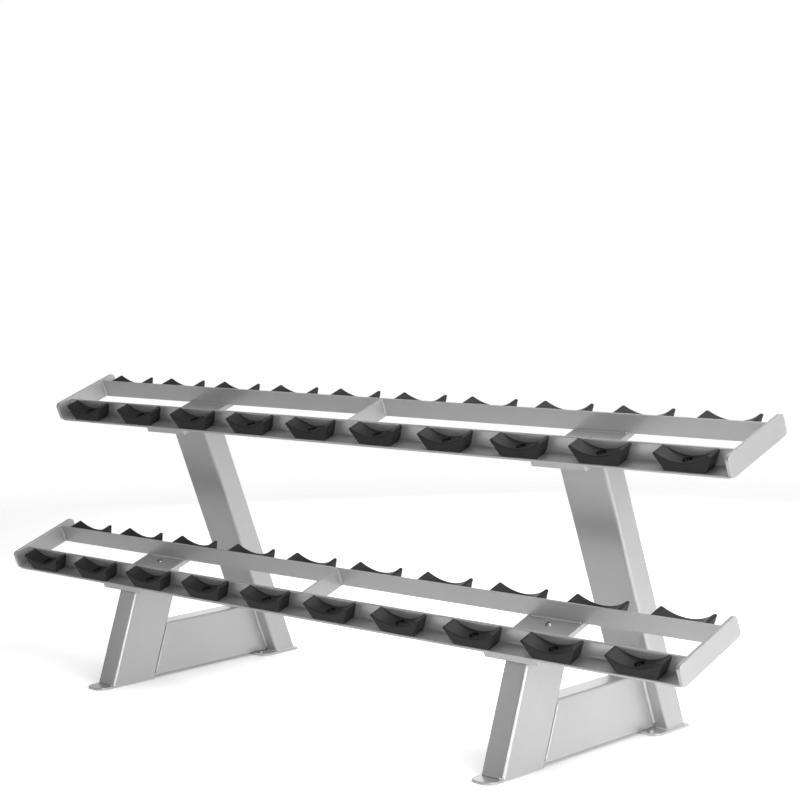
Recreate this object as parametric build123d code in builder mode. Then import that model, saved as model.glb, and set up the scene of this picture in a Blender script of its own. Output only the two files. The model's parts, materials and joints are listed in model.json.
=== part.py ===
from build123d import *
import os
from math import sin, cos, tan, radians

os.makedirs("parts", exist_ok=True)

# ------------------------------------------------------------------
# Two-tier saddle rack for ten pairs of dumbbells.
# Frame: +X along the length, +Y to the rear, +Z up, origin on the
# floor at the middle of the footprint.  Millimetres.
# ------------------------------------------------------------------

# overall
length = 2400.0          # outside of one end plate to outside of the other
tilt = 20.0              # shelves slope down to the front, degrees
lean = 20.0              # both legs lean towards the middle, degrees
frame_x = 714.5          # centre plane of each side frame

# shelf section, u runs up the slope from the front, v is square to it
shelf_depth = 230.0
end_plate_t = 10.0
end_plate_h = 54.0
end_plate_r = 12.0
rail_h = 50.0
rail_t = 6.0
rail_set_in = 3.0        # flange edge behind the end plate's front edge
rail_leg_u = 50.0        # back face of the front rail's upright leg
rail_root_r = 7.0
rail_toe_r = 2.5
brace_t = 6.0

# front lower corner of each shelf section in the Y-Z plane
tiers = {"lower": (-246.4, 273.8), "upper": (-66.4, 700.3)}

# side frames
tube_wide = 140.0
tube_narrow = 70.0
tube_wall = 4.0
tube_r = 8.0
front_leg_y = -315.3     # front face of the front leg, carried down to the floor
rear_leg_y = 274.7       # front face of the rear leg, carried down to the floor
foot_t = 6.0
front_foot = (72.0, -358.0, -167.0, 27.0)    # width, front, rear, front corner radius
rear_foot = (156.0, 217.0, 358.0, 20.0)
beam_w = 60.0
beam_z0, beam_z1 = 6.0, 153.0
beam_r = 6.0

# plates between a leg and its shelf
seat_w = 166.0
seat_u0, seat_u1 = 3.0, 227.0
seat_t = 6.0             # each of the two plates

# saddles
stations = 10
pitch = 238.6
saddle_top = 158.0
saddle_bottom = 110.0
saddle_h = 44.0
saddle_d = 40.0
saddle_low = 22.0        # lowest point of the cradle above the saddle's base
saddle_mouth = 139.0     # width of the cradle where it meets the tip flats
cbore_r, cbore_floor = 12.5, 10.0

# fasteners
screw_d, screw_hole_d = 8.0, 9.0
bolt_d, bolt_hole_d = 10.0, 11.0          # shelf bolts, button heads
level_bolt_d, level_hole_d = 10.0, 11.0
lower_bolts_u = (76.0, 154.0)
upper_bolts_u = (98.0, 132.0)
level_bolt_dx, level_bolt_y = 48.0, 230.0

st, ct, tt = sin(radians(tilt)), cos(radians(tilt)), tan(radians(lean))
sl, cl = sin(radians(lean)), cos(radians(lean))
rail_length = length - 2 * end_plate_t
station_x = [(i - (stations - 1) / 2) * pitch for i in range(stations)]
sides = {"left": -frame_x, "right": frame_x}


def at(tier, u, v):
    """Y and Z of a point of a tier's section."""
    y0, z0 = tiers[tier]
    return y0 + u * ct - v * st, z0 + u * st + v * ct


def section(tier, x):
    """Plane across the shelf at x: local x is u, local y is v, normal +X."""
    y0, z0 = tiers[tier]
    return Plane(origin=(x, y0, z0), x_dir=(0, ct, st), z_dir=(1, 0, 0))


def slope(tier, x, v):
    """Plane along the shelf at height v: local x is X, local y is u."""
    y, z = at(tier, 0, v)
    return Plane(origin=(x, y, z), x_dir=(1, 0, 0), z_dir=(0, -st, ct))


def upright(tier, u):
    """Plane square to the slope at u, normal pointing up the slope."""
    y, z = at(tier, u, 0)
    return Plane(origin=(0, y, z), x_dir=(1, 0, 0), z_dir=(0, ct, st))


def keep(name, solid):
    solid.label = name
    export_step(solid, f"parts/{name}.step")


# ------------------------------------------------------------------
# one dumbbell saddle, back face on Y = 0, base on Z = 0
# ------------------------------------------------------------------
with BuildPart() as saddle:
    with BuildSketch(Plane.XZ) as saddle_face:
        with BuildLine():
            Line((-saddle_bottom / 2, 0), (saddle_bottom / 2, 0))
            Line((saddle_bottom / 2, 0), (saddle_top / 2, saddle_h))
            Line((saddle_top / 2, saddle_h), (saddle_mouth / 2, saddle_h))
            ThreePointArc((saddle_mouth / 2, saddle_h), (0, saddle_low), (-saddle_mouth / 2, saddle_h))
            Line((-saddle_mouth / 2, saddle_h), (-saddle_top / 2, saddle_h))
            Line((-saddle_top / 2, saddle_h), (-saddle_bottom / 2, 0))
        make_face()
        fillet(saddle_face.vertices().filter_by(lambda p: p.Y > saddle_h - 0.1), 3.0)
        fillet(saddle_face.vertices().filter_by(lambda p: p.Y < 0.1), 2.5)
    extrude(amount=saddle_d)
    fillet(saddle.faces().sort_by(Axis.Y)[0].edges(), 2.0)
    # clearance for the rail's root radius
    with BuildSketch(Plane.YZ.offset(-saddle_top)) as relief:
        with BuildLine():
            Polyline((0, 0), (-rail_root_r - 0.5, 0), (0, rail_root_r + 0.5), close=True)
        make_face()
    extrude(amount=2 * saddle_top, mode=Mode.SUBTRACT)
    # counterbore for the fixing screw
    with BuildSketch(Plane.XY.offset(cbore_floor)):
        with Locations((0, -saddle_d / 2)):
            Circle(cbore_r)
    extrude(amount=saddle_h, mode=Mode.SUBTRACT)
    with BuildSketch(Plane.XY):
        with Locations((0, -saddle_d / 2)):
            Circle(screw_hole_d / 2)
    extrude(amount=cbore_floor, mode=Mode.SUBTRACT)

front_screw_u = rail_leg_u - rail_t - saddle_d / 2
rear_screw_u = shelf_depth - front_screw_u

for tier in tiers:
    deck = slope(tier, 0, rail_t)
    # --------------------------------------------------------------
    # rails: angles with their upright legs facing each other, each
    # made of a flange bar and an upright bar
    # --------------------------------------------------------------
    with BuildPart() as front_rail:
        with BuildSketch(section(tier, -rail_length / 2)) as angle:
            with BuildLine():
                Polyline((rail_set_in, 0), (rail_leg_u, 0), (rail_leg_u, rail_h), (rail_leg_u - rail_t, rail_h),
                         (rail_leg_u - rail_t, rail_t), (rail_set_in, rail_t), close=True)
            make_face()
            fillet(angle.vertices().sort_by_distance((rail_leg_u - rail_t, rail_t))[0], rail_root_r)
            fillet(angle.vertices().sort_by_distance((rail_leg_u - rail_t, rail_h))[0], rail_toe_r)
            fillet(angle.vertices().sort_by_distance((rail_set_in, rail_t))[0], rail_toe_r)
        extrude(amount=rail_length)
        with BuildSketch(deck):
            with Locations(*[(x, front_screw_u) for x in station_x]):
                Circle(screw_hole_d / 2)
        extrude(amount=-rail_t, mode=Mode.SUBTRACT)
        # two flat bars that meet along the root: flange bar and upright bar
        split(bisect_by=upright(tier, rail_leg_u - rail_t), keep=Keep.BOTH)
    keep(f"{tier}_front_rail", front_rail.part)

    with BuildPart() as rear_rail:
        with BuildSketch(section(tier, -rail_length / 2)) as angle:
            with BuildLine():
                Polyline((shelf_depth - rail_set_in, 0), (shelf_depth - rail_leg_u, 0),
                         (shelf_depth - rail_leg_u, rail_h), (shelf_depth - rail_leg_u + rail_t, rail_h),
                         (shelf_depth - rail_leg_u + rail_t, rail_t), (shelf_depth - rail_set_in, rail_t), close=True)
            make_face()
            fillet(angle.vertices().sort_by_distance((shelf_depth - rail_leg_u + rail_t, rail_t))[0], rail_root_r)
            fillet(angle.vertices().sort_by_distance((shelf_depth - rail_leg_u + rail_t, rail_h))[0], rail_toe_r)
            fillet(angle.vertices().sort_by_distance((shelf_depth - rail_set_in, rail_t))[0], rail_toe_r)
        extrude(amount=rail_length)
        with BuildSketch(deck):
            with Locations(*[(x, rear_screw_u) for x in station_x]):
                Circle(screw_hole_d / 2)
        extrude(amount=-rail_t, mode=Mode.SUBTRACT)
        split(bisect_by=upright(tier, shelf_depth - rail_leg_u + rail_t), keep=Keep.BOTH)
    keep(f"{tier}_rear_rail", rear_rail.part)

    # --------------------------------------------------------------
    # end plates and centre brace tie the two rails together
    # --------------------------------------------------------------
    for side, x0 in (("left", -length / 2), ("right", rail_length / 2)):
        with BuildPart() as end_plate:
            with BuildSketch(section(tier, x0)):
                with Locations((shelf_depth / 2, end_plate_h / 2)):
                    RectangleRounded(shelf_depth, end_plate_h, end_plate_r)
            extrude(amount=end_plate_t)
            chamfer(end_plate.faces().filter_by(Axis.X).edges(), 0.8)
        keep(f"{tier}_{side}_end_plate", end_plate.part)

    with BuildPart() as centre_brace:
        with BuildSketch(section(tier, -brace_t / 2)):
            with Locations((shelf_depth / 2, rail_h / 2)):
                Rectangle(shelf_depth - 2 * rail_leg_u, rail_h)
        extrude(amount=brace_t)
    keep(f"{tier}_centre_brace", centre_brace.part)

    # --------------------------------------------------------------
    # saddles, one front and one rear to each dumbbell
    # --------------------------------------------------------------
    for i, x in enumerate(station_x):
        front_seat = deck.location * Location((x, rail_leg_u - rail_t, 0))
        rear_seat = deck.location * Location((x, shelf_depth - rail_leg_u + rail_t, 0), (0, 0, 180))
        with BuildPart() as saddle_pair:
            add(saddle.part.moved(front_seat))
            add(saddle.part.moved(rear_seat))
        keep(f"{tier}_saddle_pair_{i + 1:02d}", saddle_pair.part)

    # --------------------------------------------------------------
    # saddle screws, washers and nuts
    # --------------------------------------------------------------
    spots = [(x, u) for u in (front_screw_u, rear_screw_u) for x in station_x]
    washer_v = rail_t + cbore_floor
    head_v = washer_v + 1.6
    with BuildPart() as saddle_screws:
        with BuildSketch(slope(tier, 0, head_v)):
            with Locations(*spots):
                Circle(6.5)
        extrude(amount=8.0)
        chamfer(saddle_screws.edges().filter_by(GeomType.CIRCLE).group_by(
            lambda e: round((e.center() - Vector(*((0,) + at(tier, 0, head_v)))).dot(Vector(0, -st, ct)), 2))[-1], 0.8)
        with BuildSketch(slope(tier, 0, head_v + 4.0)):
            with Locations(*spots):
                RegularPolygon(3.46, 6)
        extrude(amount=4.0, mode=Mode.SUBTRACT)
        with BuildSketch(slope(tier, 0, head_v)):
            with Locations(*spots):
                Circle(screw_d / 2)
        extrude(amount=-(head_v + 10.0))
    keep(f"{tier}_saddle_screws", saddle_screws.part)

    with BuildPart() as saddle_washers:
        with BuildSketch(slope(tier, 0, washer_v)):
            with Locations(*spots):
                Circle(10.5)
                Circle(4.2, mode=Mode.SUBTRACT)
        extrude(amount=1.6)
    keep(f"{tier}_saddle_washers", saddle_washers.part)

    with BuildPart() as saddle_nuts:
        with BuildSketch(slope(tier, 0, 0)):
            with Locations(*spots):
                RegularPolygon(7.5, 6)
                Circle(4.1, mode=Mode.SUBTRACT)
        extrude(amount=-8.0)
    keep(f"{tier}_saddle_nuts", saddle_nuts.part)

# ------------------------------------------------------------------
# side frames
# ------------------------------------------------------------------
for side, xf in sides.items():
    # front leg, wide way front to back, carries the lower shelf
    yc = front_leg_y + tube_wide / 2 / cl
    with BuildPart() as front_leg:
        with BuildSketch(Plane(origin=(xf, yc, 0), x_dir=(1, 0, 0), z_dir=(0, sl, cl))):
            RectangleRounded(tube_narrow, tube_wide, tube_r)
            RectangleRounded(tube_narrow - 2 * tube_wall, tube_wide - 2 * tube_wall, tube_r - tube_wall,
                             mode=Mode.SUBTRACT)
        extrude(amount=500, both=True)
        split(bisect_by=Plane.XY.offset(foot_t), keep=Keep.TOP)
        split(bisect_by=slope("lower", 0, -2 * seat_t), keep=Keep.BOTTOM)
    keep(f"{side}_front_leg", front_leg.part)

    # rear leg, wide way across, carries the upper shelf
    yc = rear_leg_y + tube_narrow / 2 / cl
    with BuildPart() as rear_leg:
        with BuildSketch(Plane(origin=(xf, yc, 0), x_dir=(1, 0, 0), z_dir=(0, -sl, cl))):
            RectangleRounded(tube_wide, tube_narrow, tube_r)
            RectangleRounded(tube_wide - 2 * tube_wall, tube_narrow - 2 * tube_wall, tube_r - tube_wall,
                             mode=Mode.SUBTRACT)
        extrude(amount=1000, both=True)
        split(bisect_by=Plane.XY.offset(foot_t), keep=Keep.TOP)
        split(bisect_by=slope("upper", 0, -2 * seat_t), keep=Keep.BOTTOM)
    keep(f"{side}_rear_leg", rear_leg.part)

    # side beam between the legs, its ends cut to their slopes
    with BuildPart() as side_beam:
        with BuildSketch(Plane.XZ):
            with Locations((xf, (beam_z0 + beam_z1) / 2)):
                RectangleRounded(beam_w, beam_z1 - beam_z0, beam_r)
                RectangleRounded(beam_w - 2 * tube_wall, beam_z1 - beam_z0 - 2 * tube_wall, beam_r - tube_wall,
                                 mode=Mode.SUBTRACT)
        extrude(amount=400, both=True)
        split(bisect_by=Plane(origin=(0, front_leg_y + tube_wide / cl, 0), x_dir=(1, 0, 0), z_dir=(0, cl, -sl)),
              keep=Keep.TOP)
        split(bisect_by=Plane(origin=(0, rear_leg_y, 0), x_dir=(1, 0, 0), z_dir=(0, -cl, -sl)), keep=Keep.TOP)
    keep(f"{side}_side_beam", side_beam.part)

    # foot plates
    w, y0, y1, r = front_foot
    with BuildPart() as front_foot_plate:
        with BuildSketch(Plane.XY) as outline:
            with Locations((xf, (y0 + y1) / 2)):
                Rectangle(w, y1 - y0)
            fillet(outline.vertices().group_by(Axis.Y)[0], r)
            fillet(outline.vertices().group_by(Axis.Y)[-1], 6.0)
        extrude(amount=foot_t)
        chamfer(front_foot_plate.faces().sort_by(Axis.Z)[-1].edges(), 1.0)
    keep(f"{side}_front_foot_plate", front_foot_plate.part)

    w, y0, y1, r = rear_foot
    with BuildPart() as rear_foot_plate:
        with BuildSketch(Plane.XY) as outline:
            with Locations((xf, (y0 + y1) / 2)):
                Rectangle(w, y1 - y0)
            fillet(outline.vertices().group_by(Axis.Y)[0], r)
            fillet(outline.vertices().group_by(Axis.Y)[-1], 12.0)
            with Locations((xf - level_bolt_dx, level_bolt_y), (xf + level_bolt_dx, level_bolt_y)):
                Circle(level_hole_d / 2, mode=Mode.SUBTRACT)
        extrude(amount=foot_t)
        chamfer(rear_foot_plate.faces().sort_by(Axis.Z)[-1].outer_wire().edges(), 1.0)
    keep(f"{side}_rear_foot_plate", rear_foot_plate.part)

    # seat plate under each shelf and cap plate on each leg, bolted together
    for tier, us in (("lower", lower_bolts_u), ("upper", upper_bolts_u)):
        for name, v in (("shelf_seat_plate", -seat_t), ("leg_cap_plate", -2 * seat_t)):
            with BuildPart() as plate:
                with BuildSketch(slope(tier, xf, v)):
                    with Locations((0, (seat_u0 + seat_u1) / 2)):
                        RectangleRounded(seat_w, seat_u1 - seat_u0, 5.0)
                    with Locations(*[(0, u) for u in us]):
                        Circle(bolt_hole_d / 2, mode=Mode.SUBTRACT)
                extrude(amount=seat_t)
            keep(f"{tier}_{side}_{name}", plate.part)

# ------------------------------------------------------------------
# shelf bolts with their weld nuts, levelling bolts
# ------------------------------------------------------------------
bolt_rows = (("lower", lower_bolts_u), ("upper", upper_bolts_u))
with BuildPart() as button_bolt:
    with BuildSketch(Plane.XZ):
        with BuildLine():
            Polyline((0, 5.5), (0, 0), (8.75, 0), (8.75, 0.9))
            ThreePointArc((8.75, 0.9), (6.6, 4.2), (3.6, 5.5))
            Line((3.6, 5.5), (0, 5.5))
        make_face()
    revolve(axis=Axis.Z)
    with BuildSketch(Plane.XY.offset(2.5)):
        RegularPolygon(3.46, 6)
    extrude(amount=4.0, mode=Mode.SUBTRACT)
    with BuildSketch(Plane.XY):
        Circle(bolt_d / 2)
    extrude(amount=-(2 * seat_t + 12.0))

with BuildPart() as shelf_bolts:
    for tier, us in bolt_rows:
        for x in sides.values():
            for u in us:
                add(button_bolt.part.moved(slope(tier, x, 0).location * Location((0, u, 0))))
keep("shelf_bolts", shelf_bolts.part)

with BuildPart() as shelf_bolt_nuts:
    for tier, us in bolt_rows:
        with BuildSketch(slope(tier, 0, -2 * seat_t)):
            with Locations(*[(x, u) for x in sides.values() for u in us]):
                RegularPolygon(9.8, 6)
                Circle(bolt_d / 2 + 0.1, mode=Mode.SUBTRACT)
        extrude(amount=-8.0)
keep("shelf_bolt_nuts", shelf_bolt_nuts.part)

with BuildPart() as levelling_bolts:
    spots = [(x + s * level_bolt_dx, level_bolt_y) for x in sides.values() for s in (-1, 1)]
    with BuildSketch(Plane.XY.offset(foot_t)):
        with Locations(*spots):
            RegularPolygon(9.24, 6)
    extrude(amount=5.5)
    chamfer(levelling_bolts.faces().sort_by(Axis.Z)[-4:].edges(), 1.0)
    with BuildSketch(Plane.XY.offset(0.5)):
        with Locations(*spots):
            Circle(level_bolt_d / 2)
    extrude(amount=foot_t)
keep("levelling_bolts", levelling_bolts.part)
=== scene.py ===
import json
import math
import bpy
import bmesh
from mathutils import Matrix, Vector


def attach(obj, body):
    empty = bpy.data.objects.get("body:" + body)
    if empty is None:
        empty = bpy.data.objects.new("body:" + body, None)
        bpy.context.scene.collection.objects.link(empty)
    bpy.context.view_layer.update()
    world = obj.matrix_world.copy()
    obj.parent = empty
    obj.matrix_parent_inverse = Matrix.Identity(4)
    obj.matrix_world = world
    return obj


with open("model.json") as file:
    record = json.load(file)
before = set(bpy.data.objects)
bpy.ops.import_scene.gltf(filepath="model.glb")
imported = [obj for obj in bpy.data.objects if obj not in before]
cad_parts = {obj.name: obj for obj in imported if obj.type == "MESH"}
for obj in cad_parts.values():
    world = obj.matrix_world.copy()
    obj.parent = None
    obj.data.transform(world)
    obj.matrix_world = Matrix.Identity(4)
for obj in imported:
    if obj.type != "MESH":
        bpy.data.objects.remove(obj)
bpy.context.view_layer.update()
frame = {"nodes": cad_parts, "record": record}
nodes = frame["nodes"]
scene = bpy.context.scene


# ------------------------------------------------------------ helpers
def mat_new(name):
    m = bpy.data.materials.new(name)
    m.use_nodes = True
    nt = m.node_tree
    return m, nt, nt.nodes["Principled BSDF"]


def link(nt, a, b):
    nt.links.new(a, b)


def node(nt, kind, **kw):
    n = nt.nodes.new(kind)
    for k, v in kw.items():
        if k in n.inputs.keys():
            n.inputs[k].default_value = v
        else:
            setattr(n, k, v)
    return n


# ------------------------------------------------------------ materials
def powder_coat(name, base, rough, metallic):
    m, nt, bsdf = mat_new(name)
    tc = node(nt, "ShaderNodeTexCoord")
    # slow tone drift of a sprayed coat
    big = node(nt, "ShaderNodeTexNoise", Scale=3.0, Detail=3.0, Roughness=0.5)
    link(nt, tc.outputs["Object"], big.inputs["Vector"])
    # metal flake: tiny cells with their own brightness
    flake = node(nt, "ShaderNodeTexVoronoi", Scale=1400.0)
    link(nt, tc.outputs["Object"], flake.inputs["Vector"])
    flake_bw = node(nt, "ShaderNodeSeparateColor")
    link(nt, flake.outputs["Color"], flake_bw.inputs["Color"])
    f_ramp = node(nt, "ShaderNodeMapRange")
    f_ramp.inputs["From Min"].default_value = 0.0
    f_ramp.inputs["From Max"].default_value = 1.0
    f_ramp.inputs["To Min"].default_value = 0.94
    f_ramp.inputs["To Max"].default_value = 1.06
    link(nt, flake_bw.outputs["Red"], f_ramp.inputs["Value"])
    t_ramp = node(nt, "ShaderNodeMapRange")
    t_ramp.inputs["From Min"].default_value = 0.3
    t_ramp.inputs["From Max"].default_value = 0.7
    t_ramp.inputs["To Min"].default_value = 0.975
    t_ramp.inputs["To Max"].default_value = 1.025
    link(nt, big.outputs["Fac"], t_ramp.inputs["Value"])
    mul = node(nt, "ShaderNodeMath", operation="MULTIPLY")
    link(nt, f_ramp.outputs["Result"], mul.inputs[0])
    link(nt, t_ramp.outputs["Result"], mul.inputs[1])
    col = node(nt, "ShaderNodeMix", data_type="RGBA", blend_type="MULTIPLY")
    col.inputs["Factor"].default_value = 1.0
    col.inputs["A"].default_value = (*base, 1.0)
    link(nt, mul.outputs[0], col.inputs["B"])
    link(nt, col.outputs["Result"], bsdf.inputs["Base Color"])
    # orange peel of the cured powder, with a finer grain on top
    peel = node(nt, "ShaderNodeTexNoise", Scale=420.0, Detail=2.0, Roughness=0.5)
    link(nt, tc.outputs["Object"], peel.inputs["Vector"])
    grain = node(nt, "ShaderNodeTexNoise", Scale=2200.0, Detail=1.0)
    link(nt, tc.outputs["Object"], grain.inputs["Vector"])
    b1 = node(nt, "ShaderNodeBump", Strength=0.10, Distance=0.0003)
    link(nt, peel.outputs["Fac"], b1.inputs["Height"])
    b2 = node(nt, "ShaderNodeBump", Strength=0.06, Distance=0.0001)
    link(nt, grain.outputs["Fac"], b2.inputs["Height"])
    link(nt, b1.outputs["Normal"], b2.inputs["Normal"])
    link(nt, b2.outputs["Normal"], bsdf.inputs["Normal"])
    r_ramp = node(nt, "ShaderNodeMapRange")
    r_ramp.inputs["From Min"].default_value = 0.3
    r_ramp.inputs["From Max"].default_value = 0.7
    r_ramp.inputs["To Min"].default_value = rough - 0.04
    r_ramp.inputs["To Max"].default_value = rough + 0.04
    link(nt, peel.outputs["Fac"], r_ramp.inputs["Value"])
    link(nt, r_ramp.outputs["Result"], bsdf.inputs["Roughness"])
    bsdf.inputs["Metallic"].default_value = metallic
    return m


def moulded(name, base, rough):
    m, nt, bsdf = mat_new(name)
    tc = node(nt, "ShaderNodeTexCoord")
    big = node(nt, "ShaderNodeTexNoise", Scale=9.0, Detail=4.0, Roughness=0.6)
    link(nt, tc.outputs["Object"], big.inputs["Vector"])
    t_ramp = node(nt, "ShaderNodeMapRange")
    t_ramp.inputs["From Min"].default_value = 0.3
    t_ramp.inputs["From Max"].default_value = 0.7
    t_ramp.inputs["To Min"].default_value = 0.88
    t_ramp.inputs["To Max"].default_value = 1.12
    link(nt, big.outputs["Fac"], t_ramp.inputs["Value"])
    col = node(nt, "ShaderNodeMix", data_type="RGBA", blend_type="MULTIPLY")
    col.inputs["Factor"].default_value = 1.0
    col.inputs["A"].default_value = (*base, 1.0)
    link(nt, t_ramp.outputs["Result"], col.inputs["B"])
    link(nt, col.outputs["Result"], bsdf.inputs["Base Color"])
    # spark-eroded mould grain
    grain = node(nt, "ShaderNodeTexVoronoi", Scale=1500.0)
    link(nt, tc.outputs["Object"], grain.inputs["Vector"])
    fine = node(nt, "ShaderNodeTexNoise", Scale=900.0, Detail=3.0)
    link(nt, tc.outputs["Object"], fine.inputs["Vector"])
    b1 = node(nt, "ShaderNodeBump", Strength=0.20, Distance=0.0002)
    link(nt, grain.outputs["Distance"], b1.inputs["Height"])
    b2 = node(nt, "ShaderNodeBump", Strength=0.12, Distance=0.0002)
    link(nt, fine.outputs["Fac"], b2.inputs["Height"])
    link(nt, b1.outputs["Normal"], b2.inputs["Normal"])
    link(nt, b2.outputs["Normal"], bsdf.inputs["Normal"])
    r_ramp = node(nt, "ShaderNodeMapRange")
    r_ramp.inputs["From Min"].default_value = 0.3
    r_ramp.inputs["From Max"].default_value = 0.7
    r_ramp.inputs["To Min"].default_value = rough - 0.06
    r_ramp.inputs["To Max"].default_value = rough + 0.06
    link(nt, fine.outputs["Fac"], r_ramp.inputs["Value"])
    link(nt, r_ramp.outputs["Result"], bsdf.inputs["Roughness"])
    bsdf.inputs["Specular IOR Level"].default_value = 0.36
    return m


def plated(name, base, rough):
    m, nt, bsdf = mat_new(name)
    tc = node(nt, "ShaderNodeTexCoord")
    n1 = node(nt, "ShaderNodeTexNoise", Scale=260.0, Detail=4.0)
    link(nt, tc.outputs["Object"], n1.inputs["Vector"])
    ramp = node(nt, "ShaderNodeMapRange")
    ramp.inputs["From Min"].default_value = 0.3
    ramp.inputs["From Max"].default_value = 0.7
    ramp.inputs["To Min"].default_value = 0.85
    ramp.inputs["To Max"].default_value = 1.1
    link(nt, n1.outputs["Fac"], ramp.inputs["Value"])
    col = node(nt, "ShaderNodeMix", data_type="RGBA", blend_type="MULTIPLY")
    col.inputs["Factor"].default_value = 1.0
    col.inputs["A"].default_value = (*base, 1.0)
    link(nt, ramp.outputs["Result"], col.inputs["B"])
    link(nt, col.outputs["Result"], bsdf.inputs["Base Color"])
    b = node(nt, "ShaderNodeBump", Strength=0.15, Distance=0.0002)
    link(nt, n1.outputs["Fac"], b.inputs["Height"])
    link(nt, b.outputs["Normal"], bsdf.inputs["Normal"])
    bsdf.inputs["Metallic"].default_value = 1.0
    bsdf.inputs["Roughness"].default_value = rough
    return m


SILVER = powder_coat("silver_powder_coat", (0.54, 0.54, 0.54), 0.35, 0.68)
CHARCOAL = moulded("charcoal_moulding", (0.010, 0.010, 0.011), 0.50)
# weld coat: the frame paint lightened (0.60 against 0.54) as a painted highlight, so the bead lines read bright
WELD_HIGHLIGHT_COAT = powder_coat("weld_coat_lightened_highlight", (0.60, 0.60, 0.60), 0.38, 0.65)
ZINC = plated("zinc_plate", (0.36, 0.36, 0.37), 0.42)
BLACK = plated("black_oxide", (0.05, 0.05, 0.052), 0.42)

slot_of = {s["node"]: s["material_slot"] for s in frame["record"]["subparts"]}
for name, ob in nodes.items():
    mat = {"frame_paint": SILVER, "saddle_plastic": CHARCOAL, "zinc_fasteners": ZINC,
           "black_fasteners": BLACK}[slot_of[name]]
    ob.data.materials.clear()
    ob.data.materials.append(mat)


# ------------------------------------------------------------ weld beads
# Each bead is a convex fillet with the scale pattern of a hand-held torch, painted over with the frame; its coat is
# the frame paint lightened a little as a painted highlight along the joint.
MM = 0.001
st, ct = math.sin(math.radians(20)), math.cos(math.radians(20))
TIERS = {"lower": (-246.4, 273.8), "upper": (-66.4, 700.3)}


def at(tier, x, u, v):
    y0, z0 = TIERS[tier]
    return Vector((x, y0 + u * ct - v * st, z0 + u * st + v * ct))


def beads(name, runs):
    """runs: (start, end, n1, n2, leg, seed) in mm; n1 and n2 point away from the two faces that meet at the line."""
    bm = bmesh.new()
    for a, b, n1, n2, leg, seed in runs:
        a, b, n1, n2 = Vector(a), Vector(b), Vector(n1).normalized(), Vector(n2).normalized()
        d = b - a
        length = d.length
        d.normalize()
        count = max(6, int(length / 1.3))
        rings = []
        for i in range(count + 1):
            t = length * i / count
            ph = (t / 4.2 + 0.37 * seed) % 1.0
            scale = 1.0 + 0.10 * (0.5 - ph) + 0.05 * math.sin(t / 23.0 + seed) + 0.03 * math.sin(t / 7.1 + 2.1 * seed)
            end = min(t, length - t)
            scale *= min(1.0, 0.35 + end / (leg * 1.4)) if leg > 0 else 1.0
            w = leg * scale
            ring = []
            for k in range(6):
                ang = math.radians(90.0 * k / 5)
                bulge = 1.0 - 0.22 * math.sin(2 * ang)
                p = a + d * t + n1 * (w * math.cos(ang) * bulge) + n2 * (w * math.sin(ang) * bulge)
                ring.append(bm.verts.new(p * MM))
            ring.append(bm.verts.new((a + d * t - (n1 + n2) * 0.3) * MM))
            rings.append(ring)
        for r0, r1 in zip(rings, rings[1:]):
            for k in range(7):
                bm.faces.new((r0[k], r0[(k + 1) % 7], r1[(k + 1) % 7], r1[k]))
        bm.faces.new(rings[0][::-1])
        bm.faces.new(rings[-1])
    bmesh.ops.recalc_face_normals(bm, faces=bm.faces)
    me = bpy.data.meshes.new(name)
    bm.to_mesh(me)
    bm.free()
    for poly in me.polygons:
        poly.use_smooth = True
    ob = bpy.data.objects.new(name, me)
    scene.collection.objects.link(ob)
    # lightened coat: painted highlight along the bead
    ob.data.materials.append(WELD_HIGHLIGHT_COAT)
    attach(ob, "root")
    return ob


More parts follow.
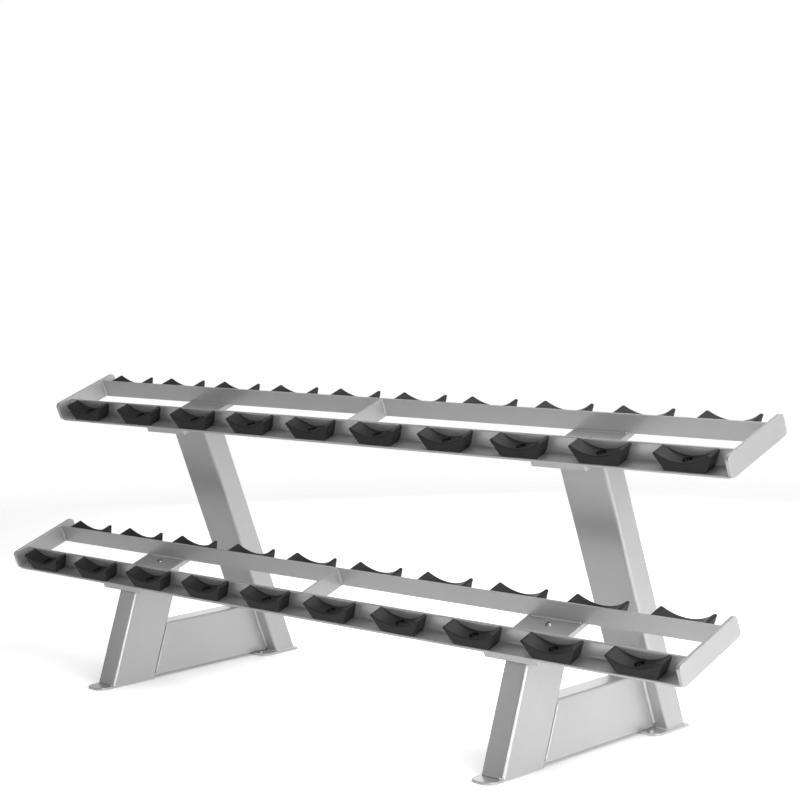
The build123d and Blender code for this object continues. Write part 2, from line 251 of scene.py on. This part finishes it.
tan20 = math.tan(math.radians(20))
FOOT_T, BEAM0, BEAM1 = 6.0, 6.0, 153.0
fl_front, fl_rear = -315.3, -315.3 + 140 / ct      # front leg faces at the floor
rl_front, rl_rear = 274.7, 274.7 + 70 / ct          # rear leg faces at the floor
back, fore = Vector((0, ct, -st)), Vector((0, -ct, -st))   # out of the front leg's rear face, out of the rear leg's front face
for side, xf in (("left", -714.5), ("right", 714.5)):
    runs = []
    k = 1
    for sx in (-1, 1):
        x = xf + sx * 30.0
        runs.append(((x, fl_rear + (BEAM0 + 8) * tan20, BEAM0 + 8), (x, fl_rear + (BEAM1 - 5) * tan20, BEAM1 - 5), (sx, 0, 0), back, 6.0, k))
        runs.append(((x, rl_front - (BEAM0 + 8) * tan20, BEAM0 + 8), (x, rl_front - (BEAM1 - 5) * tan20, BEAM1 - 5), (sx, 0, 0), fore, 6.0, k + 1))
        # along the foot plates
        runs.append(((xf + sx * 78 - sx * 8, rl_front + 6, FOOT_T), (xf + sx * 70, rl_rear - 6, FOOT_T), (sx, 0, 0), (0, 0, 1), 3.2, k + 2))
        k += 3
    runs.append(((xf - 24, fl_rear + BEAM1 * tan20, BEAM1), (xf + 24, fl_rear + BEAM1 * tan20, BEAM1), (0, 0, 1), back, 4.0, k))
    runs.append(((xf - 24, rl_front - BEAM1 * tan20, BEAM1), (xf + 24, rl_front - BEAM1 * tan20, BEAM1), (0, 0, 1), fore, 4.0, k + 1))
    runs.append(((xf - 28, fl_front + FOOT_T * tan20, FOOT_T), (xf + 28, fl_front + FOOT_T * tan20, FOOT_T), (0, -ct, st), (0, 0, 1), 4.0, k + 2))
    for a, b in ((-64, -33), (33, 64)):
        runs.append(((xf + a, rl_front - FOOT_T * tan20, FOOT_T), (xf + b, rl_front - FOOT_T * tan20, FOOT_T), fore, (0, 0, 1), 3.6, k + 3 + a))
    beads(f"{side}_frame_welds", runs)
    # legs to their cap plates
    runs = []
    for tier, v, hw, u0, u1 in (("lower", -12.0, 35.0, 0, 0), ("upper", -12.0, 70.0, 81.0, 151.0)):
        down = Vector((0, st, -ct))
        if tier == "upper":
            for sx in (-1, 1):
                runs.append((at(tier, xf + sx * hw, u0 + 7, v), at(tier, xf + sx * hw, u1 - 7, v), (sx, 0, 0), down, 3.4, 3 + sx))
            runs.append((at(tier, xf - hw + 7, u0, v), at(tier, xf + hw - 7, u0, v), (0, -ct, -st), down, 3.4, 7))
            runs.append((at(tier, xf - hw + 7, u1, v), at(tier, xf + hw - 7, u1, v), (0, ct, st), down, 3.4, 8))
        else:
            # where the front leg's faces meet the plate
            def hit(y_floor):
                y0, z0 = TIERS["lower"]
                # y = y_floor + z tan20 and (y - y0, z - z0) . (-st, ct) = v
                z = (v + (y_floor - y0) * st + z0 * ct) / (ct - tan20 * st)
                y = y_floor + z * tan20
                return (y - y0) * ct + (z - z0) * st
            uf, ur = hit(fl_front), hit(fl_rear)
            for sx in (-1, 1):
                runs.append((at(tier, xf + sx * hw, uf + 9, v), at(tier, xf + sx * hw, ur - 9, v), (sx, 0, 0), down, 3.4, 3 + sx))
            runs.append((at(tier, xf - hw + 7, uf, v), at(tier, xf + hw - 7, uf, v), (0, -ct, st), down, 3.4, 7))
            runs.append((at(tier, xf - hw + 7, ur, v), at(tier, xf + hw - 7, ur, v), (0, ct, -st), down, 3.4, 8))
    beads(f"{side}_cap_welds", runs)

for tier in TIERS:
    upv, slope_up = Vector((0, -st, ct)), Vector((0, ct, st))
    runs = []
    for xf in (-714.5, 714.5):
        runs.append((at(tier, xf - 76, 50, 0), at(tier, xf + 78, 50, 0), slope_up, upv, 3.6, 1))
        runs.append((at(tier, xf - 76, 180, 0), at(tier, xf + 78, 180, 0), -slope_up, upv, 3.6, 2))
    for sx in (-1, 1):
        for u, n in ((50, slope_up), (180, -slope_up)):
            runs.append((at(tier, sx * 3, u, 2), at(tier, sx * 3, u, 48), (sx, 0, 0), n, 3.2, u + sx))
            runs.append((at(tier, sx * 1190, u, 2), at(tier, sx * 1190, u, 46), (-sx, 0, 0), n, 3.2, u + sx))
    beads(f"{tier}_shelf_welds", runs)

# ------------------------------------------------------------ stage
bpy.ops.mesh.primitive_plane_add(size=60.0, location=(0, 0, 0))
floor = bpy.context.active_object
floor.name = "floor"
fm, fnt, fb = mat_new("floor_white")
fb.inputs["Base Color"].default_value = (0.92, 0.92, 0.92, 1)
fb.inputs["Roughness"].default_value = 0.75
fb.inputs["Emission Color"].default_value = (1, 1, 1, 1)
# lifted to paper white where it is seen; it throws back only the light it is given
flp = node(fnt, "ShaderNodeLightPath")
fem = node(fnt, "ShaderNodeMath", operation="MULTIPLY")
link(fnt, flp.outputs["Is Camera Ray"], fem.inputs[0])
fem.inputs[1].default_value = 0.46
# soft contact shadow where the feet and the beams meet the paper
fao = node(fnt, "ShaderNodeAmbientOcclusion")
fao.samples = 12
fao.inputs["Distance"].default_value = 0.22
fac = node(fnt, "ShaderNodeMapRange")
fac.inputs["From Min"].default_value = 0.30
fac.inputs["From Max"].default_value = 0.95
fac.inputs["To Min"].default_value = 0.50
fac.inputs["To Max"].default_value = 1.0
link(fnt, fao.outputs["AO"], fac.inputs["Value"])
fmul = node(fnt, "ShaderNodeMath", operation="MULTIPLY")
link(fnt, fem.outputs["Value"], fmul.inputs[0])
link(fnt, fac.outputs["Result"], fmul.inputs[1])
link(fnt, fmul.outputs["Value"], fb.inputs["Emission Strength"])
fcol = node(fnt, "ShaderNodeCombineColor")
fshade = node(fnt, "ShaderNodeMath", operation="MULTIPLY")
fshade.inputs[1].default_value = 0.92
fcam = node(fnt, "ShaderNodeMix", data_type="FLOAT")
link(fnt, flp.outputs["Is Camera Ray"], fcam.inputs[0])
fcam.inputs[2].default_value = 1.0
link(fnt, fac.outputs["Result"], fcam.inputs[3])
link(fnt, fcam.outputs[0], fshade.inputs[0])
for ch in ("Red", "Green", "Blue"):
    link(fnt, fshade.outputs["Value"], fcol.inputs[ch])
link(fnt, fcol.outputs["Color"], fb.inputs["Base Color"])
# the sheet of paper fades into the white studio a few metres out
ftc = node(fnt, "ShaderNodeTexCoord")
flen = node(fnt, "ShaderNodeVectorMath", operation="LENGTH")
link(fnt, ftc.outputs["Object"], flen.inputs[0])
fr = node(fnt, "ShaderNodeMapRange", interpolation_type="SMOOTHSTEP")
fr.inputs["From Min"].default_value = 2.4
fr.inputs["From Max"].default_value = 5.0
link(fnt, flen.outputs["Value"], fr.inputs["Value"])
ftr = node(fnt, "ShaderNodeBsdfTransparent")
fmix = node(fnt, "ShaderNodeMixShader")
link(fnt, fr.outputs["Result"], fmix.inputs["Fac"])
link(fnt, fb.outputs["BSDF"], fmix.inputs[1])
link(fnt, ftr.outputs["BSDF"], fmix.inputs[2])
link(fnt, fmix.outputs["Shader"], fnt.nodes["Material Output"].inputs["Surface"])
floor.data.materials.append(fm)

world = bpy.data.worlds.new("studio")
scene.world = world
world.use_nodes = True
wt = world.node_tree
bg = wt.nodes["Background"]
bg.inputs["Color"].default_value = (1, 1, 1, 1)
# the paper sweep behind the rack is the bright side of the studio
wtc = node(wt, "ShaderNodeTexCoord")
wsep = node(wt, "ShaderNodeSeparateXYZ")
link(wt, wtc.outputs["Generated"], wsep.inputs["Vector"])
wmap = node(wt, "ShaderNodeMapRange", interpolation_type="SMOOTHSTEP")
wmap.inputs["From Min"].default_value = -0.15
wmap.inputs["From Max"].default_value = 0.85
wmap.inputs["To Min"].default_value = 0.04
wmap.inputs["To Max"].default_value = 0.70
link(wt, wsep.outputs["Y"], wmap.inputs["Value"])
link(wt, wmap.outputs["Result"], bg.inputs["Strength"])
white = node(wt, "ShaderNodeBackground")
white.inputs["Color"].default_value = (1, 1, 1, 1)
white.inputs["Strength"].default_value = 1.0
path = node(wt, "ShaderNodeLightPath")
mix = node(wt, "ShaderNodeMixShader")
link(wt, path.outputs["Is Camera Ray"], mix.inputs["Fac"])
link(wt, bg.outputs["Background"], mix.inputs[1])
link(wt, white.outputs["Background"], mix.inputs[2])
link(wt, mix.outputs["Shader"], wt.nodes["World Output"].inputs["Surface"])


def area(name, loc, target, size, energy, size_y=None):
    d = bpy.data.lights.new(name, "AREA")
    d.energy = energy
    d.size = size
    if size_y:
        d.shape = "RECTANGLE"
        d.size_y = size_y
    o = bpy.data.objects.new(name, d)
    scene.collection.objects.link(o)
    o.location = loc
    o.rotation_euler = (Vector(target) - Vector(loc)).to_track_quat("-Z", "Y").to_euler()
    return o


area("key_right", (5.0, 0.6, 2.2), (0.5, 0, 0.35), 2.2, 110)
area("right_front", (5.2, -1.4, 1.6), (0.6, 0, 0.3), 1.6, 104)
area("front", (2.0, -4.3, 1.6), (0.7, 0, 0.35), 1.4, 24)
area("left_front", (-2.75, -2.8, 1.7), (-0.1, 0, 0.3), 1.4, 12)
area("by_camera", (3.55, -3.45, 1.65), (0.3, 0, 0.3), 0.5, 22)
area("back_left", (-2.6, 2.6, 1.2), (0.3, 0, 0.3), 2.0, 12)
area("back", (-0.6, 3.4, 1.6), (0.3, 0, 0.3), 2.4, 18)
area("top", (1.15, -0.05, 3.4), (0.5, 0, 0), 2.4, 66)

scene.view_settings.view_transform = "Standard"
scene.view_settings.look = "None"

# ------------------------------------------------------------ camera
yaw, pit, rol = (math.radians(v) for v in (43.8286, -8.2997, -1.3366))
fwd = Vector((-math.sin(yaw) * math.cos(pit), math.cos(yaw) * math.cos(pit), math.sin(pit)))
rt = Vector((math.cos(yaw), math.sin(yaw), 0))
up = rt.cross(fwd)
r2 = rt * math.cos(rol) + up * math.sin(rol)
u2 = -rt * math.sin(rol) + up * math.cos(rol)
cam_d = bpy.data.cameras.new("camera")
cam = bpy.data.objects.new("camera", cam_d)
scene.collection.objects.link(cam)
m = Matrix((( r2.x, u2.x, -fwd.x, 3.49508), (r2.y, u2.y, -fwd.y, -3.49161), (r2.z, u2.z, -fwd.z, 1.25844), (0, 0, 0, 1)))
cam.matrix_world = m
cam_d.sensor_width = 36.0
cam_d.lens = 36.0 * 1905.37 / 800
cam_d.shift_y = (503.47 - 400) / 800
cam_d.clip_end = 100
scene.camera = cam
